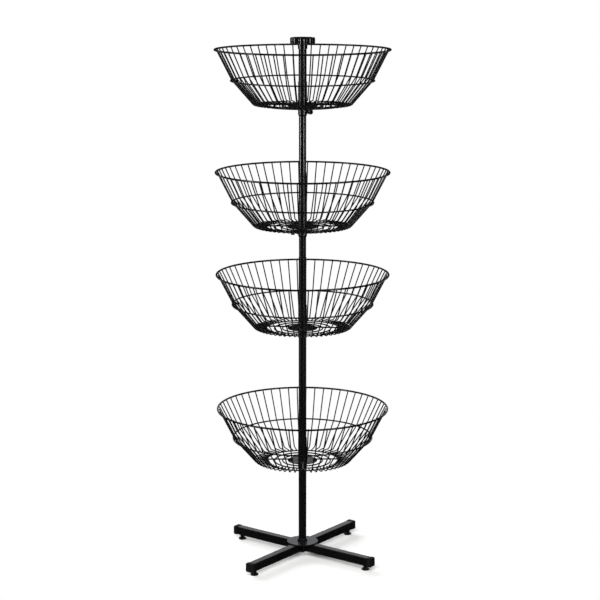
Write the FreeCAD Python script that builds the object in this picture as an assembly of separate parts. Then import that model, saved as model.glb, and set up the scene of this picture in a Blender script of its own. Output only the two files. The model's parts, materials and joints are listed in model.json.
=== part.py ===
"""Tiered wire basket floor stand: four revolving round baskets on one pole over a cross of square tube.

Each basket turns on its own height collar, and each collar slides on the pole and is held by a thumb
knob.  Lengths are millimetres and angles are degrees.  +Z is up, Z = 0 is the floor, and the pole
stands on the Z axis.
"""

import FreeCAD, Part
import math
import os

# ---------------------------------------------------------------- pole and cap
POLE_LOWER_DIAMETER = 25.4
POLE_LOWER_LENGTH = 951.0
POLE_UPPER_DIAMETER = 23.4   # fits inside the lower section
POLE_UPPER_LENGTH = 809.0
POLE_UPPER_WALL = 1.5
POLE_OVERLAP = 120.0         # upper section's length inside the lower one
CAP_THICKNESS = 20.0         # hand-sized head of the cap
CAP_COVER = 10.0             # head material above the pole's end
CAP_TIP_RADIUS = 39.5
CAP_LOBES = 8
CAP_TURN = -8.0              # how the cap happens to stand
CAP_LOBE_RADIUS = 12.5
CAP_VALLEY_RADIUS = 4.0
CAP_EDGE_RADIUS = 3.5
CAP_SKIRT_LENGTH = 17.0
CAP_SKIRT_WALL = 3.8         # wall of the skirt under the head
CAP_SKIRT_LIP = 3.0          # wall of the skirt at its lower end

# ---------------------------------------------------------------- foot cross
LEG_SIZE = 27.0              # square tube, across the flats
LEG_WALL = 1.6
LEG_CORNER = 3.0             # outer corner radius of the tube
LEG_SPAN = 558.0             # long tube, end to end without its caps
LEG_TURN = 45.0              # long tube's turn from the X axis
END_CAP_WALL = 1.1           # wall of the cap around the tube
END_CAP_END = 3.0            # thickness of its closed end
END_CAP_COVER = 9.5          # how far it reaches over the tube
END_CAP_EDGE = 1.3           # rounding of its outer end
PLATE_RADIUS = 51.0
PLATE_THICKNESS = 3.0
SOCKET_HEIGHT = 9.0
SOCKET_WALL = 2.7
WELD_BEAD = 2.0

# ---------------------------------------------------------------- levelling feet
FOOT_INSET = 24.0            # foot axis to the tube's end
FOOT_HEIGHT = 16.0           # floor to the underside of the tube
PAD_RADIUS = 12.7
PAD_HEIGHT = 4.0
PAD_EDGE = 1.2
NECK_FLATS = 13.0
STUD_RADIUS = 4.0
STUD_ENGAGED = 16.0          # stud length above the tube's underside
INSERT_FLANGE_RADIUS = 8.0
INSERT_FLANGE = 1.0
INSERT_BODY_RADIUS = 5.5
INSERT_BODY_LENGTH = 11.0

# ---------------------------------------------------------------- pole bolt
BOLT_RADIUS = 5.0
BOLT_HEAD_FLATS = 17.0
BOLT_HEAD_HEIGHT = 6.4
BOLT_HOLE_CLEARANCE = 0.25
WASHER_RADIUS = 10.0
WASHER_THICKNESS = 2.0
PLUG_LENGTH = 22.0
BOLT_IN_PLUG = 18.0          # thread engaged in the pole's plug

# ---------------------------------------------------------------- basket
TOP_TIER_DROP = 28.0         # top rim wire's centre below the pole's end
TIER_OFFSETS = (274.0, -56.0, -499.0)            # the other rims' centres above the pole's seam
BASKET_TURNS = (-10.7, -8.2, -13.6, -7.2)        # how each basket happens to stand
RIM_OUTER_RADIUS = 279.4
RIM_WIRE = 6.0               # wire diameters
MIDDLE_WIRE = 4.8
RIB_WIRE = 4.0
FLOOR_WIRE = 4.4
SPOKE_WIRE = 4.8
RIB_COUNT = 56
RIB_ABOVE_RIM = 1.5          # rib end above the rim wire's centre
MIDDLE_RADIUS = 226.5
MIDDLE_DROP = 96.8           # middle ring's centre below the rim
FLOOR_DROP = 173.0           # centre of a rib's floor part below the rim
FLOOR_BEND_RADIUS = 155.0    # where a rib turns in to the floor
FLOOR_RING_RADII = (118.0, 91.0, 65.0)
RIB_PAST_RING = 4.0          # rib end past the outer floor ring
WALL_BEND = 15.0             # centreline bend radii of a rib
FLOOR_BEND = 11.0
SPOKE_COUNT = 4
SPOKE_PAST_RING = 3.0
WELD_SINK = 0.2              # how far crossing wires are pressed together when welded

# ---------------------------------------------------------------- hub
HUB_PLATE_RADIUS = 48.0
HUB_PLATE_THICKNESS = 2.5
SPOKE_ON_PLATE = 14.0        # spoke length lying on the hub plate
SLEEVE_WALL = 1.5
SLEEVE_LENGTH = 75.0
LINER_BELOW_RIM = 0.5        # liner's upper end below the rim wire's centre
FIT = 0.1                    # radial running clearance on the pole

# ---------------------------------------------------------------- collar and thumb knob
BEARING_THICKNESS = 2.0
BEARING_GAP = 0.1            # between two faces that turn on each other
COLLAR_RADIUS = 14.6
COLLAR_HEIGHT = 28.8
COLLAR_TAPER_HEIGHT = 5.5
COLLAR_LIP = 0.7             # wall left at the collar's tapered end
BOSS_RADIUS = 5.5
BOSS_REACH = 19.0            # boss face from the pole's axis
SCREW_RADIUS = 3.0
SCREW_DROP = 14.4            # screw axis below the collar's top
KNOB_TURNS = (-48.0, 172.0, 95.0, 80.0)          # where each thumb knob points
KNOB_START = 25.0            # knob's inner face from the pole's axis
KNOB_LENGTH = 12.0
KNOB_TIP_RADIUS = 8.0
KNOB_LOBES = 12
KNOB_LOBE_RADIUS = 2.0
KNOB_VALLEY_RADIUS = 0.8
KNOB_EDGE_RADIUS = 1.0

THREAD_FIT = 0.05            # radial clearance of a screw in its thread
PRESS_FIT = 0.05             # radial clearance of a part seated in a tube

# ---------------------------------------------------------------- worked out
POLE_RADIUS = POLE_LOWER_DIAMETER / 2
SLIM_RADIUS = POLE_UPPER_DIAMETER / 2
POLE_BORE = SLIM_RADIUS + PRESS_FIT
LEG_TOP = FOOT_HEIGHT + LEG_SIZE
PLATE_TOP = LEG_TOP + PLATE_THICKNESS
POLE_SEAM = PLATE_TOP + POLE_LOWER_LENGTH
POLE_TOP = POLE_SEAM + POLE_UPPER_LENGTH - POLE_OVERLAP
RIM_RADIUS = RIM_OUTER_RADIUS - RIM_WIRE / 2

ORIGIN = FreeCAD.Vector(0, 0, 0)
X_AXIS = FreeCAD.Vector(1, 0, 0)
Y_AXIS = FreeCAD.Vector(0, 1, 0)
Z_AXIS = FreeCAD.Vector(0, 0, 1)


def turned(shape, angle):
    """A copy of the shape turned about the pole's axis."""
    copy = shape.copy()
    copy.rotate(ORIGIN, Z_AXIS, angle)
    return copy


def lifted(shape, height):
    """A copy of the shape moved up."""
    copy = shape.copy()
    copy.translate(Z_AXIS * height)
    return copy


def cylinder(radius, bottom, top):
    return Part.makeCylinder(radius, top - bottom, Z_AXIS * bottom)


def tube(outer, inner, bottom, top):
    return cylinder(outer, bottom, top).cut(cylinder(inner, bottom, top))


def revolved(profile):
    """Solid of revolution about Z of a closed outline given as (radius, height) corners."""
    points = [FreeCAD.Vector(radius, 0, height) for radius, height in profile]
    face = Part.Face(Part.makePolygon(points + points[:1]))
    return face.revolve(ORIGIN, Z_AXIS, 360)


def hexagon(flats, bottom, top):
    corner = flats / math.sqrt(3)
    points = [FreeCAD.Vector(corner * math.cos(math.radians(a)), corner * math.sin(math.radians(a)), bottom)
              for a in range(0, 361, 60)]
    return Part.Face(Part.makePolygon(points)).extrude(Z_AXIS * (top - bottom))


def rounded_bar(size, corner, start, end):
    """Square bar along X with rounded long edges, centred on the X axis."""
    bar = Part.makeBox(end - start, size, size, FreeCAD.Vector(start, -size / 2, -size / 2))
    long_edges = [edge for edge in bar.Edges if edge.tangentAt(edge.FirstParameter).cross(X_AXIS).Length < 1e-6]
    return bar.makeFillet(corner, long_edges)


def rounded_path(points, bends):
    """Wire through the points, with an arc of the given radius at each inner point."""
    edges = []
    last = points[0]
    for corner, after, bend in zip(points[1:-1], points[2:], bends):
        toward = (last - corner).normalize()
        away = (after - corner).normalize()
        half_turn = (math.pi - toward.getAngle(away)) / 2
        trim = bend * math.tan(half_turn)
        bisector = (toward + away).normalize()
        middle = corner + bisector * (bend / math.cos(half_turn) - bend)
        start = corner + toward * trim
        end = corner + away * trim
        edges.append(Part.makeLine(last, start))
        edges.append(Part.Arc(start, middle, end).toShape())
        last = end
    edges.append(Part.makeLine(last, points[-1]))
    return Part.Wire(edges)


def wire_solid(path, diameter):
    """Round wire bent along a path."""
    start = path.OrderedEdges[0]
    section = Part.makeCircle(diameter / 2, start.Vertexes[0].Point, start.tangentAt(start.FirstParameter))
    return path.makePipeShell([Part.Wire(section)], True, False)


def lobed_disc(tip_radius, lobes, lobe_radius, valley_radius, height, edge_radius):
    """Hand knob's head: a disc with rounded lobes, from Z = 0 up, with rounded rims."""
    half = math.pi / lobes
    centre = tip_radius - lobe_radius
    reach = lobe_radius + valley_radius
    valley = centre * math.cos(half) + math.sqrt(reach ** 2 - (centre * math.sin(half)) ** 2)

    def point(radius, angle):
        return FreeCAD.Vector(radius * math.cos(angle), radius * math.sin(angle), 0)

    def tangency(lobe_angle, valley_angle):
        lobe_centre = point(centre, lobe_angle)
        return lobe_centre + (point(valley, valley_angle) - lobe_centre).normalize() * lobe_radius

    edges = []
    for index in range(lobes):
        angle = 2 * half * index
        before = tangency(angle, angle - half)
        after = tangency(angle, angle + half)
        following = tangency(angle + 2 * half, angle + half)
        edges.append(Part.Arc(before, point(tip_radius, angle), after).toShape())
        edges.append(Part.Arc(after, point(valley - valley_radius, angle + half), following).toShape())
    head = Part.Face(Part.Wire(edges)).extrude(Z_AXIS * height)
    rims = [edge for edge in head.Edges if abs(edge.tangentAt(edge.FirstParameter).z) < 1e-6]
    return head.makeFillet(edge_radius, rims)


# ---------------------------------------------------------------- foot cross

def foot_position():
    return LEG_SPAN / 2 - FOOT_INSET


def drilled_leg(start, end, foot_places, bolted):
    """Square tube along X at leg height, drilled for its foot inserts and, if bolted, for the pole bolt."""
    outer = rounded_bar(LEG_SIZE, LEG_CORNER, start, end)
    inner = rounded_bar(LEG_SIZE - 2 * LEG_WALL, LEG_CORNER - LEG_WALL, start, end)
    leg = lifted(outer.cut(inner), FOOT_HEIGHT + LEG_SIZE / 2)
    for place in foot_places:
        hole = cylinder(INSERT_BODY_RADIUS, 0, LEG_TOP - LEG_SIZE / 2)
        hole.translate(X_AXIS * place)
        leg = leg.cut(hole)
    if bolted:
        leg = leg.cut(cylinder(BOLT_RADIUS + BOLT_HOLE_CLEARANCE, 0, PLATE_TOP))
    return leg


def long_leg():
    foot = foot_position()
    return turned(drilled_leg(-LEG_SPAN / 2, LEG_SPAN / 2, (-foot, foot), True), LEG_TURN)


def short_leg(side):
    """Half-length tube butted against the long one; side is 90 or -90 from the long tube."""
    return turned(drilled_leg(LEG_SIZE / 2, LEG_SPAN / 2, (foot_position(),), False), LEG_TURN + side)


def end_cap():
    """Plastic cap pushed over the +X end of a tube."""
    end = LEG_SPAN / 2
    bore = LEG_SIZE + 2 * PRESS_FIT
    bore_corner = LEG_CORNER + PRESS_FIT
    cap = rounded_bar(bore + 2 * END_CAP_WALL, bore_corner + END_CAP_WALL, end - END_CAP_COVER, end + END_CAP_END)
    outer_rim = [edge for edge in cap.Edges if edge.BoundBox.XMin > end + END_CAP_END - 1e-6]
    cap = cap.makeFillet(END_CAP_EDGE, outer_rim)
    cap = cap.cut(rounded_bar(bore, bore_corner, end - END_CAP_COVER, end))
    return lifted(cap, FOOT_HEIGHT + LEG_SIZE / 2)


def foot_insert():
    """Threaded rivet nut set in the underside of a tube."""
    top = FOOT_HEIGHT + INSERT_BODY_LENGTH
    bore = STUD_RADIUS + THREAD_FIT
    insert = revolved([(bore, FOOT_HEIGHT - INSERT_FLANGE), (INSERT_FLANGE_RADIUS, FOOT_HEIGHT - INSERT_FLANGE),
                       (INSERT_FLANGE_RADIUS, FOOT_HEIGHT), (INSERT_BODY_RADIUS, FOOT_HEIGHT),
                       (INSERT_BODY_RADIUS, top), (bore, top)])
    insert.translate(X_AXIS * foot_position())
    return insert


def levelling_foot():
    """Round pad with a hexagonal neck and a threaded stud, screwed fully home."""
    pad = cylinder(PAD_RADIUS, 0, PAD_HEIGHT)
    pad = pad.makeFillet(PAD_EDGE, [edge for edge in pad.Edges if edge.Length > PAD_RADIUS * math.pi])
    neck_top = FOOT_HEIGHT - INSERT_FLANGE - BEARING_GAP
    neck = hexagon(NECK_FLATS, PAD_HEIGHT, neck_top)
    stud = cylinder(STUD_RADIUS, neck_top, FOOT_HEIGHT + STUD_ENGAGED)
    foot = pad.fuse([neck, stud])
    foot.translate(X_AXIS * foot_position())
    return foot


def around_legs(shape):
    """Copies of a +X shape at the four leg ends."""
    return Part.makeCompound([turned(shape, LEG_TURN + quarter) for quarter in (0, 90, 180, 270)])


# ---------------------------------------------------------------- pole and its fixings

def base_plate():
    plate = cylinder(PLATE_RADIUS, LEG_TOP, PLATE_TOP)
    top_rim = [edge for edge in plate.Edges if edge.BoundBox.ZMin > PLATE_TOP - 1e-6]
    plate = plate.makeChamfer(PLATE_THICKNESS / 4, top_rim)
    return plate.cut(cylinder(BOLT_RADIUS + BOLT_HOLE_CLEARANCE, LEG_TOP, PLATE_TOP))


def pole_socket():
    """Short ring welded to the plate, which the pole stands in."""
    bore = POLE_RADIUS + PRESS_FIT
    wall = POLE_RADIUS + SOCKET_WALL
    top = PLATE_TOP + SOCKET_HEIGHT
    chamfer = SOCKET_WALL / 3
    return revolved([(bore, PLATE_TOP), (wall + WELD_BEAD, PLATE_TOP), (wall, PLATE_TOP + WELD_BEAD),
                     (wall, top - chamfer), (wall - chamfer, top), (bore, top)])


def pole_lower():
    return tube(POLE_RADIUS, POLE_BORE, PLATE_TOP, POLE_SEAM)


def pole_upper():
    return tube(SLIM_RADIUS, SLIM_RADIUS - POLE_UPPER_WALL, POLE_SEAM - POLE_OVERLAP, POLE_TOP)


def pole_plug():
    """Threaded plug fixed in the foot of the pole."""
    return tube(POLE_BORE - PRESS_FIT, BOLT_RADIUS + THREAD_FIT, PLATE_TOP, PLATE_TOP + PLUG_LENGTH)


def pole_bolt():
    head_top = FOOT_HEIGHT - WASHER_THICKNESS
    head = hexagon(BOLT_HEAD_FLATS, head_top - BOLT_HEAD_HEIGHT, head_top)
    return head.fuse(cylinder(BOLT_RADIUS, head_top, PLATE_TOP + BOLT_IN_PLUG))


def bolt_washer():
    return tube(WASHER_RADIUS, BOLT_RADIUS + BOLT_HOLE_CLEARANCE, FOOT_HEIGHT - WASHER_THICKNESS, FOOT_HEIGHT)


def top_cap():
    """Lobed plastic head with a tapered skirt over the end of the pole."""
    top = POLE_TOP + CAP_COVER
    under = top - CAP_THICKNESS
    bore = SLIM_RADIUS + PRESS_FIT
    head = lobed_disc(CAP_TIP_RADIUS, CAP_LOBES, CAP_LOBE_RADIUS, CAP_VALLEY_RADIUS, CAP_THICKNESS,
                      CAP_EDGE_RADIUS)
    skirt = revolved([(0, under - CAP_SKIRT_LENGTH), (bore + CAP_SKIRT_LIP, under - CAP_SKIRT_LENGTH),
                      (bore + CAP_SKIRT_WALL, under), (bore + CAP_SKIRT_WALL, under + CAP_EDGE_RADIUS),
                      (0, under + CAP_EDGE_RADIUS)])
    cap = lifted(turned(head, CAP_TURN), under).fuse(skirt)
    return cap.cut(cylinder(bore, under - CAP_SKIRT_LENGTH, POLE_TOP))


# ---------------------------------------------------------------- basket, with its rim's centre at Z = 0

def wires_apart(first, second):
    """Distance between the centres of two crossing wires that are welded."""
    return (first + second) / 2 - WELD_SINK


def floor_ring_height():
    return -FLOOR_DROP - wires_apart(RIB_WIRE, FLOOR_WIRE)


def spoke_height():
    return floor_ring_height() + wires_apart(FLOOR_WIRE, SPOKE_WIRE)


def hub_plate_top():
    return spoke_height() - SPOKE_WIRE / 2


def collar_top():
    return hub_plate_top() - HUB_PLATE_THICKNESS - BEARING_GAP - BEARING_THICKNESS


def rib():
    """One upright wire, from the rim down the wall and in over the outer floor ring."""
    top_radius = RIM_RADIUS - wires_apart(RIM_WIRE, RIB_WIRE)
    lean_low = math.atan2(MIDDLE_RADIUS - FLOOR_BEND_RADIUS, FLOOR_DROP - MIDDLE_DROP)
    lean_high = math.atan2(top_radius - MIDDLE_RADIUS, MIDDLE_DROP)
    lean = (lean_low + lean_high) / 2
    inside = wires_apart(MIDDLE_WIRE, RIB_WIRE)
    points = [FreeCAD.Vector(top_radius, 0, RIB_ABOVE_RIM),
              FreeCAD.Vector(MIDDLE_RADIUS - inside * math.cos(lean), 0, -MIDDLE_DROP + inside * math.sin(lean)),
              FreeCAD.Vector(FLOOR_BEND_RADIUS, 0, -FLOOR_DROP),
              FreeCAD.Vector(FLOOR_RING_RADII[0] - RIB_PAST_RING, 0, -FLOOR_DROP)]
    return wire_solid(rounded_path(points, (WALL_BEND, FLOOR_BEND)), RIB_WIRE)


def ribs():
    """All uprights, set half a pitch off the spokes."""
    pitch = 360 / RIB_COUNT
    one = rib()
    return Part.makeCompound([turned(one, pitch * (index + 0.5)) for index in range(RIB_COUNT)])


def wire_ring(radius, diameter, height):
    return Part.makeTorus(radius, diameter / 2, Z_AXIS * height, Z_AXIS)


def floor_rings():
    return Part.makeCompound([wire_ring(radius, FLOOR_WIRE, floor_ring_height()) for radius in FLOOR_RING_RADII])


def floor_spokes():
    start = HUB_PLATE_RADIUS - SPOKE_ON_PLATE
    length = FLOOR_RING_RADII[0] + SPOKE_PAST_RING - start
    spoke = Part.makeCylinder(SPOKE_WIRE / 2, length, FreeCAD.Vector(start, 0, spoke_height()), X_AXIS)
    pitch = 360 / SPOKE_COUNT
    return Part.makeCompound([turned(spoke, pitch * index) for index in range(SPOKE_COUNT)])


def hub_plate():
    top = hub_plate_top()
    return tube(HUB_PLATE_RADIUS, POLE_RADIUS + FIT, top - HUB_PLATE_THICKNESS, top)


def hub_sleeve():
    bore = POLE_RADIUS + FIT
    return tube(bore + SLEEVE_WALL, bore, hub_plate_top(), hub_plate_top() + SLEEVE_LENGTH)


def hub_liner():
    """Tube pressed into the hub of a basket that runs on the slim upper section."""
    outer = POLE_RADIUS + FIT - PRESS_FIT
    return tube(outer, SLIM_RADIUS + FIT, hub_plate_top() - HUB_PLATE_THICKNESS, -LINER_BELOW_RIM)


# ---------------------------------------------------------------- collar, below the same basket

def bearing_washer(pole_radius):
    return tube(COLLAR_RADIUS, pole_radius + FIT, collar_top(), collar_top() + BEARING_THICKNESS)


def collar(pole_radius):
    """Height collar with a tapered foot and a threaded boss towards +X."""
    top = collar_top()
    bottom = top - COLLAR_HEIGHT
    bore = pole_radius + FIT
    body = revolved([(bore, bottom), (bore + COLLAR_LIP, bottom),
                     (COLLAR_RADIUS, bottom + COLLAR_TAPER_HEIGHT), (COLLAR_RADIUS, top), (bore, top)])
    axis_height = top - SCREW_DROP
    centre = Z_AXIS * axis_height
    boss = Part.makeCylinder(BOSS_RADIUS, BOSS_REACH, centre, X_AXIS)
    hole = Part.makeCylinder(SCREW_RADIUS + THREAD_FIT, BOSS_REACH, centre, X_AXIS)
    return body.fuse(boss).cut(cylinder(bore, bottom, top)).cut(hole)


def thumb_knob(pole_radius):
    """Fluted hand knob on a screw that reaches the pole, pointing towards +X."""
    head = lobed_disc(KNOB_TIP_RADIUS, KNOB_LOBES, KNOB_LOBE_RADIUS, KNOB_VALLEY_RADIUS, KNOB_LENGTH,
                      KNOB_EDGE_RADIUS)
    head.rotate(ORIGIN, Y_AXIS, 90)
    head.translate(FreeCAD.Vector(KNOB_START, 0, collar_top() - SCREW_DROP))
    tip = FreeCAD.Vector(pole_radius + THREAD_FIT, 0, collar_top() - SCREW_DROP)
    screw = Part.makeCylinder(SCREW_RADIUS, KNOB_START - tip.x, tip, X_AXIS)
    return head.fuse(screw)


# ---------------------------------------------------------------- assembly

def stand_parts():
    parts = {
        "leg_long": long_leg(),
        "leg_short_left": short_leg(90),
        "leg_short_right": short_leg(-90),
        "leg_end_caps": around_legs(end_cap()),
        "foot_inserts": around_legs(foot_insert()),
        "base_plate": base_plate(),
        "pole_socket": pole_socket(),
        "pole_lower": pole_lower(),
        "pole_upper": pole_upper(),
        "pole_plug": pole_plug(),
        "pole_bolt": pole_bolt(),
        "bolt_washer": bolt_washer(),
        "top_cap": top_cap(),
    }
    foot = levelling_foot()
    for index, quarter in enumerate((0, 90, 180, 270), start=1):
        parts[f"levelling_foot_{index}"] = turned(foot, LEG_TURN + quarter)
    return parts


def tier_heights():
    """Height of each rim wire's centre, top tier first."""
    return (POLE_TOP - TOP_TIER_DROP, *(POLE_SEAM + offset for offset in TIER_OFFSETS))


def tier_parts():
    basket = {
        "rim_ring": wire_ring(RIM_RADIUS, RIM_WIRE, 0),
        "middle_ring": wire_ring(MIDDLE_RADIUS, MIDDLE_WIRE, -MIDDLE_DROP),
        "ribs": ribs(),
        "floor_rings": floor_rings(),
        "floor_spokes": floor_spokes(),
        "hub_plate": hub_plate(),
        "hub_sleeve": hub_sleeve(),
    }
    parts = {}
    for tier, (height, turn, knob_turn) in enumerate(zip(tier_heights(), BASKET_TURNS, KNOB_TURNS), start=1):
        on_slim_section = height > POLE_SEAM
        pole_radius = SLIM_RADIUS if on_slim_section else POLE_RADIUS
        hub = {"hub_liner": hub_liner()} if on_slim_section else {}
        for name, shape in {**basket, **hub}.items():
            parts[f"basket_{tier}_{name}"] = lifted(turned(shape, turn), height)
        carrier = {"bearing_washer": bearing_washer, "collar": collar, "thumb_knob": thumb_knob}
        for name, make in carrier.items():
            parts[f"{name}_{tier}"] = lifted(turned(make(pole_radius), knob_turn), height)
    return parts


def main():
    os.makedirs("parts", exist_ok=True)
    for name, shape in {**stand_parts(), **tier_parts()}.items():
        if not shape.isValid():
            raise ValueError(f"{name} is not a valid solid")
        shape.exportStep(f"parts/{name}.step")


main()
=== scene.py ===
"""Tiered wire basket stand: the finished look of every piece, made over the stand's CAD frame.

Lengths are metres.  +Z is up, the floor is Z = 0, and the pole stands on the Z axis.
"""

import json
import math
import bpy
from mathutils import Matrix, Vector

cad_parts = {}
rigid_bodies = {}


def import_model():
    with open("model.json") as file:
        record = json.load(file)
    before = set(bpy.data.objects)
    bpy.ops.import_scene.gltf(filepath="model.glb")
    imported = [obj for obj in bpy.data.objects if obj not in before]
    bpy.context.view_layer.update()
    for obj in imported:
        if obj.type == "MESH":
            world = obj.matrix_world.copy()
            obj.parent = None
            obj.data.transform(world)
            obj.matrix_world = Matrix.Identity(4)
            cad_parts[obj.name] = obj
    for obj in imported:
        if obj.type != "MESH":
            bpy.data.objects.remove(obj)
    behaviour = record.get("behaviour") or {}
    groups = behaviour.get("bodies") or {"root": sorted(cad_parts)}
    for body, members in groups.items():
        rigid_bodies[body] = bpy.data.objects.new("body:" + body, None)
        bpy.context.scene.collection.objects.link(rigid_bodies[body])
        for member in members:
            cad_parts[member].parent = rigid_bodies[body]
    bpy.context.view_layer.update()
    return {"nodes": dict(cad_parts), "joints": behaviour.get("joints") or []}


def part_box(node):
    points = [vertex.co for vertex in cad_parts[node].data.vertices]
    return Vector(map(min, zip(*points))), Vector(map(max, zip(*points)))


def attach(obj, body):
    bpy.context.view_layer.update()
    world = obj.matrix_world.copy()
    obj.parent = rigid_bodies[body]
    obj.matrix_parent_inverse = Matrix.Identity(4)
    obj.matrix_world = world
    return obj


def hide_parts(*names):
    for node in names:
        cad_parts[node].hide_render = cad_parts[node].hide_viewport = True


bl_info = {
    "name": "Tiered Basket Stand",
    "version": (1, 0, 0),
    "blender": (4, 5, 0),
    "location": "3D View > Sidebar > Basket Stand",
    "description": "Builds a stand of four revolving wire baskets on its CAD frame",
    "category": "Object",
}

import bmesh
import bpy
from bpy.props import FloatProperty, FloatVectorProperty, IntProperty, PointerProperty
from mathutils import Matrix, Vector

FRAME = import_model()

MM = 0.001
FULL_TURN = 2 * math.pi
QUARTER_TURN = math.pi / 2
TIERS = (1, 2, 3, 4)
FEET = (1, 2, 3, 4)
SMOOTH_UP_TO = math.radians(38)    # a sharper edge than this keeps its crease
EDGE_HOLD = 0.05 * MM              # a flat face starts this far from a rounding, so its shading stays flat
THREAD_DEPTH = 0.54                # of a 60 degree thread, as a share of its pitch

# Numbers of node sockets that share their name with others of the same node
MIX_A, MIX_B = 2, 3
COLOUR_A, COLOUR_B, COLOUR_MIXED = 6, 7, 2
COMPARE_A, COMPARE_B = 2, 3
RANDOM_LOW, RANDOM_HIGH, RANDOM_VALUE = 2, 3, 1
RANDOM_LOW_VECTOR, RANDOM_HIGH_VECTOR = 0, 1


# ---------------- places in the frame

def heights(node):
    """Lowest and highest point of a CAD node."""
    low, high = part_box(node)
    return low.z, high.z


def mid_height(node):
    return sum(heights(node)) / 2


def screw_angle(tier):
    """Which way a tier's thumb screw points, from the X axis."""
    found = next(joint for joint in FRAME["joints"] if joint["name"] == f"thumb_knob_{tier}_turn")
    axis = Vector(found["axis"])
    return math.atan2(axis.y, axis.x)


def on_slim_section(tier):
    """Whether a tier runs on the slim upper section of the pole."""
    return mid_height(f"basket_{tier}_rim_ring") > heights("pole_lower")[1]


def pole_radius(tier):
    """Outside of the section of pole that a tier runs on."""
    sizes = bpy.context.scene.pole_sizes
    return sizes.upper_radius if on_slim_section(tier) else sizes.lower_radius


# ---------------- sizes and colours

def linear(code):
    """Linear colour of an sRGB hex code."""
    parts = [int(code[place:place + 2], 16) / 255 for place in (1, 3, 5)]
    return tuple(part / 12.92 if part <= 0.04045 else ((part + 0.055) / 1.055) ** 2.4 for part in parts)


def length(name, description, millimetres):
    return FloatProperty(name=name, description=description, default=millimetres * MM, min=0.0, precision=5,
                         subtype="DISTANCE", unit="LENGTH")


def angle(name, description, degrees):
    return FloatProperty(name=name, description=description, default=math.radians(degrees), subtype="ANGLE",
                         unit="ROTATION")


def number(name, description, default, least=3):
    return IntProperty(name=name, description=description, default=default, min=least)


def power(name, description, watts):
    return FloatProperty(name=name, description=description, default=watts, min=0.0, subtype="POWER",
                         unit="POWER")


def share(name, description, default):
    return FloatProperty(name=name, description=description, default=default, min=0.0, max=1.0,
                         subtype="FACTOR")


def colour(name, description, code):
    return FloatVectorProperty(name=name, description=description, default=linear(code), size=3, min=0.0,
                               max=1.0, subtype="COLOR")


class BasketSizes(bpy.types.PropertyGroup):
    rim_radius: length("Rim radius", "Centre line of the rim wire", 276.38)
    rim_wire: length("Rim wire", "Diameter of the rim wire", 6.0)
    middle_radius: length("Middle radius", "Centre line of the middle ring", 226.5)
    middle_wire: length("Middle wire", "Diameter of the middle ring's wire", 4.8)
    middle_drop: length("Middle drop", "Middle ring below the rim", 96.8)
    floor_radii: FloatVectorProperty(name="Floor rings", description="Centre lines of the floor rings",
                                     size=3, default=(118 * MM, 91 * MM, 65 * MM), subtype="NONE",
                                     unit="LENGTH")
    floor_wire: length("Floor wire", "Diameter of the floor rings' wire", 4.4)
    rib_wire: length("Rib wire", "Diameter of an upright wire", 4.0)
    rib_count: number("Ribs", "Upright wires in one basket", 56)
    rib_rise: length("Rib rise", "Rib's cut end above the rim's centre", 1.5)
    rib_floor_radius: length("Floor bend radius", "Where a rib turns in to the floor", 155.0)
    rib_floor_drop: length("Floor drop", "Rib's floor part below the rim", 173.0)
    rib_past_ring: length("Rib past ring", "Rib's inner end past the outer floor ring", 4.0)
    rib_play: angle("Rib play", "How far a rib may stand from its even place", 0.12)
    wall_bend: length("Wall bend", "Bend radius of a rib at the middle ring", 15.0)
    floor_bend: length("Floor bend", "Bend radius of a rib at the floor", 11.0)
    spoke_wire: length("Spoke wire", "Diameter of a floor spoke", 4.8)
    spoke_count: number("Spokes", "Floor spokes in one basket", 4, least=2)
    spoke_start: length("Spoke start", "Inner end of a spoke, on the hub plate", 34.0)
    spoke_end: length("Spoke end", "Outer end of a spoke", 121.0)
    weld_sink: length("Weld sink", "How far crossing wires are pressed together", 0.2)
    turns: FloatVectorProperty(name="Turns", description="How each basket happens to stand, top tier first",
                               size=4, subtype="NONE", unit="ROTATION",
                               default=tuple(math.radians(turn) for turn in (-10.7, -8.2, -13.6, -7.2)))


class WeldSizes(bpy.types.PropertyGroup):
    nugget_along: length("Nugget length", "Half length of a spot weld's flash along the ring", 2.3)
    nugget_across: length("Nugget width", "Half width of a spot weld's flash", 1.5)
    rim_drop: length("Rim weld drop", "Rim's spot welds below the rim's centre", 0.4)
    bead_pitch: length("Bead pitch", "Ripple to ripple in a welded bead", 1.3)
    bead_width: length("Bead width", "Half width of a welded bead", 1.4)
    bead_margin: length("Bead margin", "How far a bead stops short of its joint's ends", 1.0)
    seed: number("Seed", "Fixed seed of the welds' unevenness", 7, least=0)


class HubSizes(bpy.types.PropertyGroup):
    plate_radius: length("Plate radius", "Hub plate's edge", 48.0)
    plate_edge: length("Plate edge", "Rounding of the pressed plate's edge", 0.7)
    sleeve_bore: length("Sleeve bore", "Radius of the hub sleeve's bore", 12.8)
    sleeve_wall: length("Sleeve wall", "Wall of the hub sleeve", 1.5)
    running_gap: length("Running gap", "Radial clearance on the pole", 0.1)
    tube_edge: length("Tube edge", "Deburred rounding of a cut tube", 0.35)


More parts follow.
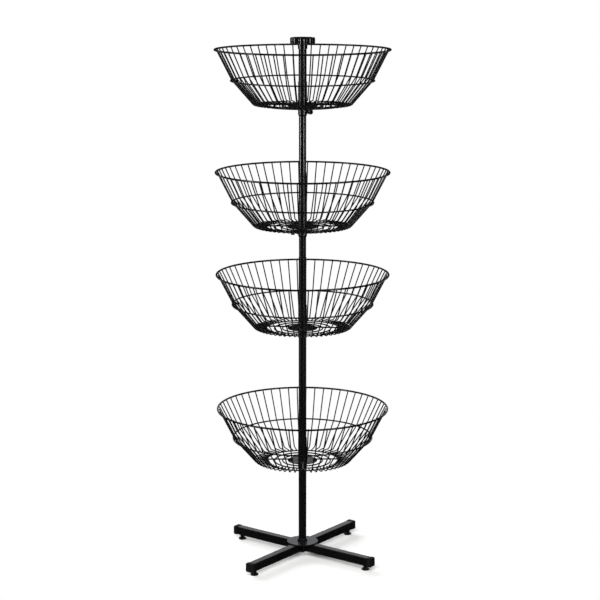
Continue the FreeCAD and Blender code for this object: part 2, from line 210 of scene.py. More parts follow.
class CollarSizes(bpy.types.PropertyGroup):
    radius: length("Collar radius", "Outside of the height collar", 14.6)
    taper: length("Taper", "Height of the tapered foot", 5.5)
    taper_edge: length("Taper edge", "Rounding where the taper ends", 1.5)
    lip: length("Lip", "Wall left at the tapered end", 0.7)
    lip_edge: length("Lip edge", "Rounding of the tapered end", 0.25)
    rim_edge: length("Rim edge", "Rounding of the collar's top and the boss's face", 0.6)
    boss_radius: length("Boss radius", "Threaded boss", 5.5)
    boss_flare: length("Boss flare", "How much wider the boss is where it meets the collar", 0.9)
    boss_start: length("Boss start", "Boss's inner end from the pole's axis", 13.1)
    boss_reach: length("Boss reach", "Boss face from the pole's axis", 19.0)
    mouth_edge: length("Mouth edge", "Countersink of the threaded hole", 0.3)
    screw_radius: length("Screw radius", "Thumb screw's thread", 3.0)
    screw_pitch: length("Screw pitch", "Thread pitch of the thumb screw", 1.0)
    knob_start: length("Knob start", "Knob's inner face from the pole's axis", 25.0)
    knob_length: length("Knob length", "Length of the knob's head", 12.0)
    knob_tip: length("Knob radius", "Outside of the knob's flutes", 8.0)
    knob_lobes: number("Flutes", "Flutes round a thumb knob", 12)
    knob_lobe: length("Flute radius", "Rounding of a flute's crest", 2.0)
    knob_valley: length("Valley radius", "Rounding between flutes", 0.8)
    knob_edge: length("Knob edge", "Rounding of the knob's rims", 1.0)


class PoleSizes(bpy.types.PropertyGroup):
    lower_radius: length("Lower radius", "Outside of the lower tube", 12.7)
    upper_radius: length("Upper radius", "Outside of the upper tube", 11.7)
    upper_wall: length("Upper wall", "Wall of the upper tube", 1.5)
    fixed_gap: length("Fixed gap", "Radial clearance of a seated part", 0.05)
    seam_edge: length("Seam edge", "Rolled edge of the lower tube at the seam", 0.6)
    cap_tip: length("Cap radius", "Outside of the cap's lobes", 39.5)
    cap_lobes: number("Lobes", "Lobes round the top cap", 8)
    cap_turn: angle("Cap turn", "How the cap happens to stand", -8)
    cap_lobe: length("Lobe radius", "Rounding of a lobe", 12.5)
    cap_valley: length("Cap valley", "Rounding between lobes", 4.0)
    cap_thickness: length("Cap thickness", "Height of the cap's head", 20.0)
    cap_edge: length("Cap edge", "Rounding of the head's rims", 3.5)
    cap_dish: length("Cap dish", "Radius of the shallow dish in the cap's top", 25.0)
    skirt_lip: length("Skirt lip", "Wall at the skirt's lower end", 3.0)
    skirt_wall: length("Skirt wall", "Wall of the skirt under the head", 3.8)
    skirt_edge: length("Skirt edge", "Chamfer of the skirt's lower end", 0.4)
    skirt_root: length("Skirt root", "Fillet between the skirt and the head", 1.0)


class BaseSizes(bpy.types.PropertyGroup):
    leg_turn: angle("Leg turn", "Long leg's turn from the X axis", 45)
    leg_size: length("Leg tube", "Square tube across the flats", 27.0)
    leg_corner: length("Leg corner", "Corner radius of the square tube", 3.0)
    plate_radius: length("Plate radius", "Welded base plate", 51.0)
    plate_edge: length("Plate edge", "Rounding of the base plate's edge", 0.75)
    bolt_hole: length("Bolt hole", "Radius of the hole in the base plate", 5.25)
    socket_bore: length("Socket bore", "Radius of the ring that holds the pole", 12.75)
    socket_wall: length("Socket wall", "Wall of the ring that holds the pole", 2.65)
    socket_edge: length("Socket edge", "Outer rounding of that ring's top", 1.6)
    socket_mouth: length("Socket mouth", "Inner rounding of that ring's top", 0.3)
    foot_radius: length("Foot centre", "Levelling foot's axis from the pole", 255.0)
    pad_radius: length("Pad radius", "Levelling foot's pad", 12.7)
    pad_height: length("Pad height", "Height of the pad", 4.0)
    pad_edge: length("Pad edge", "Rounding of the pad", 1.2)
    neck_flats: length("Neck flats", "Hexagonal neck across its flats", 13.0)
    neck_top: length("Neck top", "Top of the hexagonal neck", 14.9)
    neck_chamfer: length("Neck chamfer", "Chamfer of the neck's top", 0.6)
    stud_radius: length("Stud radius", "Thread of the levelling foot", 4.0)
    stud_pitch: length("Stud pitch", "Thread pitch of the levelling foot", 1.25)


class FinishColours(bpy.types.PropertyGroup):
    powder: colour("Powder coat", "Baked black powder coat", "#070708")
    powder_rubbed: colour("Rubbed coat", "Powder coat where it is handled", "#0e0e10")
    gloss_plastic: colour("Gloss plastic", "Moulded black ABS", "#080809")
    pad_plastic: colour("Pad plastic", "Moulded black polyethylene", "#0d0d0e")
    nylon: colour("Nylon", "Black nylon bearing washer", "#1e1e1f")
    zinc: colour("Zinc", "Zinc plated steel", "#b4b8bb")
    black_oxide: colour("Black oxide", "Blackened steel screw", "#26272a")
    paper: colour("Paper", "Seamless background paper", "#f3f3f2")


class StudioSettings(bpy.types.PropertyGroup):
    lens: FloatProperty(name="Lens", description="Focal length on a 36 mm frame, in millimetres",
                        default=109.98, min=1.0, subtype="DISTANCE_CAMERA", unit="CAMERA")
    eye: FloatVectorProperty(name="Camera", description="Where the camera stands", size=3,
                             default=(-0.7959, -5.7360, 2.0102), subtype="TRANSLATION", unit="LENGTH")
    pitch: angle("Pitch", "How far the camera looks down", 11.264)
    heading: angle("Heading", "Camera's heading from the X axis", 82.181)
    key_power: power("Front key", "Power of the lamp that lights the paper from the front", 450.0)
    back_key_power: power("Back key", "Power of the lamp that lights the paper from behind", 260.0)
    strip_power: power("Side lamps", "Power of a metre of side lamp", 21.0)
    card_power: power("Cards", "Power of a card reflected in the foot's upper faces", 6.0)
    surround: share("Surround", "Brightness of the room around the object", 0.05)
    gloss_share: share("Gloss share", "Share of the white background seen in gloss", 0.02)
    shade_centre: FloatVectorProperty(name="Shade centre", description="Middle of the shaded paper", size=3,
                                      default=(0.02, -0.03, 0.0), subtype="TRANSLATION", unit="LENGTH")
    shade_reach: length("Shade reach", "Paper shows its shading up to this far out", 290.0)
    white_reach: length("White reach", "Paper is plain white from this far out", 450.0)


SETTINGS = {
    "basket_sizes": BasketSizes,
    "weld_sizes": WeldSizes,
    "hub_sizes": HubSizes,
    "collar_sizes": CollarSizes,
    "pole_sizes": PoleSizes,
    "base_sizes": BaseSizes,
    "finish_colours": FinishColours,
    "studio_settings": StudioSettings,
}


# ---------------- node trees

def add(tree, kind, inputs=None, **settings):
    """Add a node with its settings; an input gets a value, an output socket, or a node's first output."""
    node = tree.nodes.new(kind)
    for name, value in settings.items():
        setattr(node, name, value)
    for key, value in (inputs or {}).items():
        if isinstance(value, bpy.types.Node):
            value = value.outputs[0]
        if isinstance(value, bpy.types.NodeSocket):
            tree.links.new(value, node.inputs[key])
        else:
            node.inputs[key].default_value = value
    return node


def cleared_tree(owner):
    """Node tree of a material or world, emptied."""
    owner.use_nodes = True
    owner.node_tree.nodes.clear()
    return owner.node_tree


def new_geometry_tree(name, **sockets):
    """Geometry tree with these inputs, listed by kind, and a finish; and the outputs that give them."""
    tree = bpy.data.node_groups.new(name, "GeometryNodeTree")
    tree.interface.new_socket("Geometry", in_out="OUTPUT", socket_type="NodeSocketGeometry")
    for kind, labels in {**sockets, "Material": ["Finish"]}.items():
        for label in labels:
            tree.interface.new_socket(label, in_out="INPUT", socket_type=f"NodeSocket{kind}")
    return tree, tree.nodes.new("NodeGroupInput").outputs


def close_geometry_tree(tree, geometry, material):
    real = add(tree, "GeometryNodeRealizeInstances", {"Geometry": geometry})
    done = add(tree, "GeometryNodeSetMaterial", {"Geometry": real, "Material": material})
    add(tree, "NodeGroupOutput", {"Geometry": done})


def grown(tree, finish, **values):
    """Plain mesh that a geometry tree makes from these values, keyed by its inputs' names."""
    values["finish"] = finish
    host = bpy.data.objects.new("growing", bpy.data.meshes.new("growing"))
    bpy.context.scene.collection.objects.link(host)
    modifier = host.modifiers.new(tree.name, "NODES")
    modifier.node_group = tree
    for item in tree.interface.items_tree:
        if item.in_out == "INPUT":
            modifier[item.identifier] = values[item.name.lower().replace(" ", "_")]
    graph = bpy.context.evaluated_depsgraph_get()
    mesh = bpy.data.meshes.new_from_object(host.evaluated_get(graph), preserve_all_data_layers=False,
                                           depsgraph=graph)
    host.modifiers.clear()
    bpy.data.objects.remove(host)
    return mesh


def wire_ring_tree():
    """A closed ring of round wire, level, round the pole's axis."""
    tree, given = new_geometry_tree("Wire ring", Float=["Radius", "Wire", "Height"], Int=["Steps"])
    half = add(tree, "ShaderNodeMath", {0: given["Wire"], 1: 0.5}, operation="MULTIPLY")
    section = add(tree, "GeometryNodeCurvePrimitiveCircle", {"Resolution": 14, "Radius": half})
    line = add(tree, "GeometryNodeCurvePrimitiveCircle", {"Resolution": given["Steps"],
                                                          "Radius": given["Radius"]})
    ring = add(tree, "GeometryNodeCurveToMesh", {"Curve": line, "Profile Curve": section})
    rise = add(tree, "ShaderNodeCombineXYZ", {"Z": given["Height"]})
    placed = add(tree, "GeometryNodeTransform", {"Geometry": ring, "Translation": rise})
    close_geometry_tree(tree, placed, given["Finish"])
    return tree


def bent_wires_tree():
    """Bent wires spaced evenly round the axis, each through four corners at (radius, 0, height)."""
    corners = [f"Corner {place}" for place in (1, 2, 3, 4)]
    tree, given = new_geometry_tree("Bent wires", Vector=corners, Int=["Count", "Seed"],
                                    Float=["First bend", "Second bend", "Wire", "Turn", "Unevenness"])
    index = add(tree, "GeometryNodeInputIndex")
    choice = add(tree, "GeometryNodeIndexSwitch", data_type="VECTOR")
    while len(choice.index_switch_items) < len(corners):
        choice.index_switch_items.new()
    tree.links.new(index.outputs[0], choice.inputs["Index"])
    for place, corner in enumerate(corners):
        tree.links.new(given[corner], choice.inputs[str(place)])
    line = add(tree, "GeometryNodeMeshLine", {"Count": len(corners)})
    shaped = add(tree, "GeometryNodeSetPosition", {"Geometry": line, "Position": choice})
    path = add(tree, "GeometryNodeMeshToCurve", {"Mesh": shaped})
    is_first = add(tree, "FunctionNodeCompare", {COMPARE_A: index, COMPARE_B: 1}, data_type="INT",
                   operation="EQUAL")
    bend = add(tree, "GeometryNodeSwitch", {"Switch": is_first, "False": given["Second bend"],
                                            "True": given["First bend"]}, input_type="FLOAT")
    bent = add(tree, "GeometryNodeFilletCurve", {"Curve": path, "Count": 6, "Radius": bend}, mode="POLY")
    half = add(tree, "ShaderNodeMath", {0: given["Wire"], 1: 0.5}, operation="MULTIPLY")
    section = add(tree, "GeometryNodeCurvePrimitiveCircle", {"Resolution": 10, "Radius": half})
    wire = add(tree, "GeometryNodeCurveToMesh", {"Curve": bent, "Profile Curve": section, "Fill Caps": True})
    spots = add(tree, "GeometryNodePoints", {"Count": given["Count"]})
    step = add(tree, "ShaderNodeMath", {0: FULL_TURN, 1: given["Count"]}, operation="DIVIDE")
    even = add(tree, "ShaderNodeMath", {0: index, 1: step, 2: given["Turn"]}, operation="MULTIPLY_ADD")
    slack = add(tree, "FunctionNodeRandomValue", {RANDOM_LOW: -1.0, RANDOM_HIGH: 1.0, "Seed": given["Seed"]},
                data_type="FLOAT")
    spin = add(tree, "ShaderNodeMath", {0: slack.outputs[RANDOM_VALUE], 1: given["Unevenness"], 2: even},
               operation="MULTIPLY_ADD")
    euler = add(tree, "ShaderNodeCombineXYZ", {"Z": spin})
    rotation = add(tree, "FunctionNodeEulerToRotation", {"Euler": euler})
    wires = add(tree, "GeometryNodeInstanceOnPoints", {"Points": spots, "Instance": wire,
                                                       "Rotation": rotation})
    close_geometry_tree(tree, wires, given["Finish"])
    return tree


def weld_row_tree(straight):
    """Small molten lumps in a row, round the axis or along a straight line, each a little different."""
    name = "Weld line" if straight else "Weld round"
    if name in bpy.data.node_groups:
        return bpy.data.node_groups[name]
    floats = [] if straight else ["Radius", "Height", "Start angle", "Sweep"]
    ends = ["Start", "End"] if straight else []
    tree, given = new_geometry_tree(name, Float=floats, Vector=[*ends, "Size"], Int=["Count", "Seed"])
    index = add(tree, "GeometryNodeInputIndex")
    part = add(tree, "ShaderNodeMath", {0: index, 1: given["Count"]}, operation="DIVIDE")
    if straight:
        run = add(tree, "ShaderNodeVectorMath", {0: given["End"], 1: given["Start"]}, operation="SUBTRACT")
        gone = add(tree, "ShaderNodeVectorMath", {0: run, "Scale": part}, operation="SCALE")
        place = add(tree, "ShaderNodeVectorMath", {0: gone, 1: given["Start"]}, operation="ADD")
        turn = add(tree, "FunctionNodeAlignRotationToVector", {"Vector": run}, axis="Y")
    else:
        spin = add(tree, "ShaderNodeMath", {0: part, 1: given["Sweep"], 2: given["Start angle"]},
                   operation="MULTIPLY_ADD")
        spot = add(tree, "ShaderNodeCombineXYZ", {"X": given["Radius"], "Z": given["Height"]})
        place = add(tree, "ShaderNodeVectorRotate", {"Vector": spot, "Angle": spin}, rotation_type="Z_AXIS")
        euler = add(tree, "ShaderNodeCombineXYZ", {"Z": spin})
        turn = add(tree, "FunctionNodeEulerToRotation", {"Euler": euler})
    spots = add(tree, "GeometryNodePoints", {"Count": given["Count"], "Position": place})
    lump = add(tree, "GeometryNodeMeshIcoSphere", {"Radius": 1.0, "Subdivisions": 2})
    uneven = add(tree, "FunctionNodeRandomValue", {RANDOM_LOW_VECTOR: (0.85, 0.85, 0.85),
                                                   RANDOM_HIGH_VECTOR: (1.1, 1.1, 1.1),
                                                   "Seed": given["Seed"]}, data_type="FLOAT_VECTOR")
    size = add(tree, "ShaderNodeVectorMath", {0: given["Size"], 1: uneven}, operation="MULTIPLY")
    lumps = add(tree, "GeometryNodeInstanceOnPoints", {"Points": spots, "Instance": lump, "Rotation": turn,
                                                       "Scale": size})
    close_geometry_tree(tree, lumps, given["Finish"])
    return tree


# ---------------- mesh shapes

def skinned(rings, loop=False):
    """Closed mesh through rings of points; a ring of one point is a pole; a loop joins last to first."""
    shape = bmesh.new()
    rows = [[shape.verts.new(point) for point in ring] for ring in rings]
    for low, high in zip(rows, rows[1:] + (rows[:1] if loop else [])):
        count = max(len(low), len(high))
        for place in range(count):
            after = (place + 1) % count
            corners = [low[place % len(low)], low[after % len(low)], high[after % len(high)],
                       high[place % len(high)]]
            corners = list(dict.fromkeys(corners))
            if len(corners) > 2:
                shape.faces.new(corners)
    bmesh.ops.recalc_face_normals(shape, faces=shape.faces)
    mesh = bpy.data.meshes.new("shape")
    shape.to_mesh(mesh)
    shape.free()
    return mesh


def direction(turn):
    """Flat vector of length one, turned from the X axis."""
    return Vector((math.cos(turn), math.sin(turn)))


def round_ring(radius, height, steps):
    if radius == 0:
        return [(0, 0, height)]
    turns = [FULL_TURN * step / steps for step in range(steps)]
    return [(radius * math.cos(turn), radius * math.sin(turn), height) for turn in turns]


def softened(outline, radii, steps=4):
    """Closed outline of (radius, height) with its corners rounded; a radius of 0 keeps the corner."""
    points = []
    for place, radius in enumerate(radii):
        corner = Vector(outline[place])
        if radius == 0:
            points.append(corner)
            continue
        toward = (Vector(outline[place - 1]) - corner).normalized()
        away = (Vector(outline[(place + 1) % len(outline)]) - corner).normalized()
        half = (math.pi - toward.angle(away)) / 2
        centre = corner + (toward + away).normalized() * (radius / math.cos(half))
        first = corner + toward * (radius * math.tan(half)) - centre
        last = corner + away * (radius * math.tan(half)) - centre
        start = math.atan2(first.y, first.x)
        sweep = (math.atan2(last.y, last.x) - start + math.pi) % FULL_TURN - math.pi
        arc = [centre + radius * direction(start + sweep * step / steps) for step in range(steps + 1)]
        points += [arc[0] + toward * EDGE_HOLD, *arc, arc[-1] + away * EDGE_HOLD]
    return points


def lathed(outline, radii, steps):
    """Turned part: a closed outline of (radius, height) spun round the axis, with rounded corners."""
    rings = [round_ring(max(point[0], 0.0), point[1], steps) for point in softened(outline, radii)]
    return skinned(rings, loop=True)


def tube(bore, outside, node, radii, steps=96):
    """Turned ring between two radii, as tall as a CAD node; radii round its corners from the low bore."""
    low, high = heights(node)
    return lathed([(bore, low), (outside, low), (outside, high), (bore, high)], radii, steps)


def lobed_plan(tip, lobes, lobe, valley, arc_steps):
    """Plan of a lobed hand knob as (point, outward direction) pairs."""
    half = math.pi / lobes
    centre = tip - lobe
    reach = lobe + valley
    valley_centre = centre * math.cos(half) + math.sqrt(reach ** 2 - (centre * math.sin(half)) ** 2)
    lean = math.atan2(valley_centre * math.sin(half), valley_centre * math.cos(half) - centre)
    plan = []
    for count in range(lobes):
        middle = 2 * half * count
        for step in range(-arc_steps, arc_steps):
            out = direction(middle + lean * step / arc_steps)
            plan.append((centre * direction(middle) + lobe * out, out))
        for step in range(arc_steps):
            out = direction(middle + half + (lean - half) * (1 - 2 * step / arc_steps))
            plan.append((valley_centre * direction(middle + half) - valley * out, out))
    return plan


def circle_ring(plan, radius, height):
    """A circle with one point for each of the plan's, or a single point where the radius is 0."""
    if radius == 0:
        return [(0, 0, height)]
    return [(*(point.normalized() * radius), height) for point, out in plan]


def inset_ring(plan, inset, height):
    """The plan drawn in by an inset, at a height."""
    return [(*(point - out * inset), height) for point, out in plan]


def lobed_head(plan, low, high, edge, edge_steps, below, above):
    """Closed head of lobed plan between two heights, its rims rounded.

    below and above hold the (radius, height) of the circles that close its two ends, in order.
    """
    turns = [QUARTER_TURN * step / edge_steps for step in range(edge_steps + 1)]
    rims = [(edge * (1 - math.sin(turn)), edge * (1 - math.cos(turn))) for turn in turns]
    rings = [circle_ring(plan, radius, height) for radius, height in below]
    rings += [inset_ring(plan, inset, low + drop) for inset, drop in rims]
    rings += [inset_ring(plan, inset, high - drop) for inset, drop in reversed(rims)]
    rings += [circle_ring(plan, radius, height) for radius, height in above]
    return skinned(rings)


def threaded_rod(radius, pitch, low, high, steps=20, rows_per_turn=6):
    """Rod along Z with a helical 60 degree thread."""
    rows = max(2, round((high - low) / pitch * rows_per_turn))
    rings = [[(0, 0, low)]]
    for row in range(rows + 1):
        height = low + (high - low) * row / rows
        ring = []
        for step in range(steps):
            turn = step / steps
            phase = ((height - low) / pitch - turn) % 1
            size = radius - THREAD_DEPTH * pitch * abs(2 * phase - 1)
            ring.append((size * math.cos(FULL_TURN * turn), size * math.sin(FULL_TURN * turn), height))
        rings.append(ring)
    return skinned(rings + [[(0, 0, high)]])


def hexagon_ring(flats, height):
    return round_ring(flats / math.sqrt(3), height, 6)


def moved(mesh, *steps):
    """The mesh after these matrices, first one first."""
    for step in steps:
        mesh.transform(step)
    return mesh


def moved_points(points, matrix):
    return [tuple(matrix @ Vector(point)) for point in points]


def turned(turn, axis="Z"):
    return Matrix.Rotation(turn, 4, axis)


def shifted(x, y, z):
    return Matrix.Translation((x, y, z))


def on_screw_axis(mesh, tier, start=0.0):
    """A part made along Z, laid along a tier's thumb screw with its foot this far from the pole's axis."""
    height = mid_height(f"thumb_knob_{tier}")
    return moved(mesh, turned(QUARTER_TURN, "Y"), shifted(start, 0, height), turned(screw_angle(tier)))


def merged(meshes):
    """One mesh of several closed shells."""
    whole = bmesh.new()
    for mesh in meshes:
        whole.from_mesh(mesh)
    for mesh in meshes:
        bpy.data.meshes.remove(mesh)
    result = bpy.data.meshes.new("shape")
    whole.to_mesh(result)
    whole.free()
    return result


def piece(name, mesh, body, material, stands_for=()):
    """Finished piece that rides on a CAD body and may stand for CAD nodes."""
    if not mesh.polygons:
        raise RuntimeError(f"{name} came out empty")
    mesh.name = name
    mesh.materials.clear()
    mesh.materials.append(material)
    mesh.shade_smooth()
    mesh.set_sharp_from_angle(angle=SMOOTH_UP_TO)
    item = bpy.data.objects.new(name, mesh)
    bpy.context.scene.collection.objects.link(item)
    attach(item, body)
    if stands_for:
        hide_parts(*stands_for)


def dress(material, *nodes):
    """Give CAD nodes that stay in view their finish."""
    for node in nodes:
        for place in FRAME["nodes"][node].material_slots:
            place.material = material


# ---------------- finishes

def surface(name, colours, roughness, mottle, grain, relief, metallic=0.0, stretch=(1.0, 1.0, 1.0),
            wear=0.35, ior=1.5):
    """Procedural finish: two tones and two roughnesses over patches, with a fine relief.

    mottle and grain are the sizes of the patches and of the relief's grain, and relief is its height, all in
    millimetres; stretch scales the patches' pattern, and wear is how much of the second tone they show.
    """
    material = bpy.data.materials.new(name)
    tree = cleared_tree(material)
    place = add(tree, "ShaderNodeTexCoord").outputs["Object"]
    drawn = add(tree, "ShaderNodeMapping", {"Vector": place, "Scale": stretch})
    patches = add(tree, "ShaderNodeTexNoise", {"Vector": drawn, "Scale": 1 / (mottle * MM), "Detail": 4.0,
                                               "Roughness": 0.6})
    worn = add(tree, "ShaderNodeMapRange", {"Value": patches, "From Min": 0.45, "From Max": 0.75,
                                            "To Max": wear})
    tone = add(tree, "ShaderNodeMix", {"Factor": worn, COLOUR_A: (*colours[0], 1),
                                       COLOUR_B: (*colours[1], 1)}, data_type="RGBA")
    gloss = add(tree, "ShaderNodeMapRange", {"Value": patches, "From Min": 0.3, "From Max": 0.7,
                                             "To Min": roughness[0], "To Max": roughness[1]})
    grains = add(tree, "ShaderNodeTexNoise", {"Vector": place, "Scale": 1 / (grain * MM), "Detail": 2.0})
    bump = add(tree, "ShaderNodeBump", {"Height": grains, "Strength": 0.5, "Distance": relief * MM})
    shader = add(tree, "ShaderNodeBsdfPrincipled", {"Base Color": tone.outputs[COLOUR_MIXED],
                                                    "Roughness": gloss, "Normal": bump,
                                                    "Metallic": metallic, "IOR": ior})
    add(tree, "ShaderNodeOutputMaterial", {"Surface": shader})


def finishes():
    """The stand's finishes by name, made once."""
    made = bpy.data.materials
    if "semi_gloss_black_powder_coat" in made:
        return made
    shades = bpy.context.scene.finish_colours
    powder = (shades.powder, shades.powder_rubbed)
    # Epoxy powder baked on wire: an even black skin, glossy enough for crisp highlights, with a fine
    # orange peel.
    surface("semi_gloss_black_powder_coat", powder, (0.22, 0.34), 22, 1.6, 0.02, ior=1.4)
    # The same powder on the foot cross and collars: flatter faces, so the peel shows a little larger.
    surface("semi_gloss_black_powder_coat_on_steel_tube", powder, (0.24, 0.34), 45, 2.0, 0.012)
    # The same powder on the pole, where sliding collars leave faint upright rub marks.
    surface("black_powder_coat_rubbed_by_collars", powder, (0.13, 0.20), 9, 2.0, 0.004,
            stretch=(1.0, 1.0, 0.05), wear=0.5)
    # Injection moulded ABS from a polished tool: deep black, glossy, with slight flow ripples.
    surface("gloss_moulded_abs", (shades.gloss_plastic, shades.powder_rubbed), (0.09, 0.15), 30, 5, 0.008,
            ior=1.53)
    # Moulded polyethylene: softer, duller black with a spark-eroded grain, drawn coarser than life to show.
    surface("grained_moulded_polyethylene", (shades.pad_plastic, shades.powder_rubbed), (0.52, 0.66), 12,
            0.8, 0.05, ior=1.51)
    # Black nylon washer, turned: even, waxy.
    surface("turned_black_nylon", (shades.nylon, shades.pad_plastic), (0.35, 0.45), 6, 0.7, 0.02, ior=1.53)
    # Bright zinc plate on cold headed steel: small crystals and a greyish cast.
    surface("bright_zinc_plate", (shades.zinc, shades.black_oxide), (0.25, 0.42), 5, 0.9, 0.01, metallic=1.0,
            wear=0.25)
    # Black oxide on a machine screw: oily black metal.
    surface("black_oxide_steel", (shades.black_oxide, shades.powder), (0.30, 0.45), 4, 0.8, 0.01,
            metallic=1.0)
    return made


# ---------------- operators

class STAND_OT_rings(bpy.types.Operator):
    """Rim, middle and floor rings of the four baskets"""
    bl_idname = "stand.rings"
    bl_label = "Wire Rings"

    def execute(self, context):
        sizes = context.scene.basket_sizes
        coat = finishes()["semi_gloss_black_powder_coat"]
        tree = wire_ring_tree()

        def ring(radius, wire, height, steps):
            return grown(tree, coat, radius=radius, wire=wire, height=height, steps=steps)

        for tier in TIERS:
            name = f"basket_{tier}"
            rim = mid_height(f"{name}_rim_ring")
            floor = mid_height(f"{name}_floor_rings")
            piece(f"{name}_rim_wire", ring(sizes.rim_radius, sizes.rim_wire, rim, 180), name, coat,
                  [f"{name}_rim_ring"])
            middle = ring(sizes.middle_radius, sizes.middle_wire, rim - sizes.middle_drop, 160)
            piece(f"{name}_middle_wire", middle, name, coat, [f"{name}_middle_ring"])
            rings = merged([ring(radius, sizes.floor_wire, floor, 120) for radius in sizes.floor_radii])
            piece(f"{name}_floor_wires", rings, name, coat, [f"{name}_floor_rings"])
        return {"FINISHED"}


class STAND_OT_ribs(bpy.types.Operator):
    """Upright wires and floor spokes of the four baskets"""
    bl_idname = "stand.ribs"
    bl_label = "Ribs and Spokes"

    def execute(self, context):
        sizes = context.scene.basket_sizes
        coat = finishes()["semi_gloss_black_powder_coat"]
        tree = bent_wires_tree()
        top_radius = sizes.rim_radius - (sizes.rim_wire + sizes.rib_wire) / 2 + sizes.weld_sink
        lean_low = math.atan2(sizes.middle_radius - sizes.rib_floor_radius,
                              sizes.rib_floor_drop - sizes.middle_drop)
        lean_high = math.atan2(top_radius - sizes.middle_radius, sizes.middle_drop)
        lean = (lean_low + lean_high) / 2
        inside = (sizes.middle_wire + sizes.rib_wire) / 2 - sizes.weld_sink
        half_pitch = math.pi / sizes.rib_count
        for tier in TIERS:
            name = f"basket_{tier}"
            turn = sizes.turns[tier - 1]
            rim = mid_height(f"{name}_rim_ring")
            floor = rim - sizes.rib_floor_drop
            ribs = grown(tree, coat, corner_1=(top_radius, 0, rim + sizes.rib_rise),
                         corner_2=(sizes.middle_radius - inside * math.cos(lean), 0,
                                   rim - sizes.middle_drop + inside * math.sin(lean)),
                         corner_3=(sizes.rib_floor_radius, 0, floor),
                         corner_4=(sizes.floor_radii[0] - sizes.rib_past_ring, 0, floor),
                         first_bend=sizes.wall_bend, second_bend=sizes.floor_bend, wire=sizes.rib_wire,
                         count=sizes.rib_count, turn=turn + half_pitch, unevenness=sizes.rib_play, seed=tier)
            piece(f"{name}_rib_wires", ribs, name, coat, [f"{name}_ribs"])
            level = mid_height(f"{name}_floor_spokes")
            run = sizes.spoke_end - sizes.spoke_start
            corners = {f"corner_{place}": (sizes.spoke_start + run * part, 0, level)
                       for place, part in enumerate((0, 0.3, 0.7, 1), start=1)}
            spokes = grown(tree, coat, **corners, first_bend=0.0, second_bend=0.0, wire=sizes.spoke_wire,
                           count=sizes.spoke_count, turn=turn, unevenness=0.0, seed=tier)
            piece(f"{name}_spoke_wires", spokes, name, coat, [f"{name}_floor_spokes"])
        return {"FINISHED"}


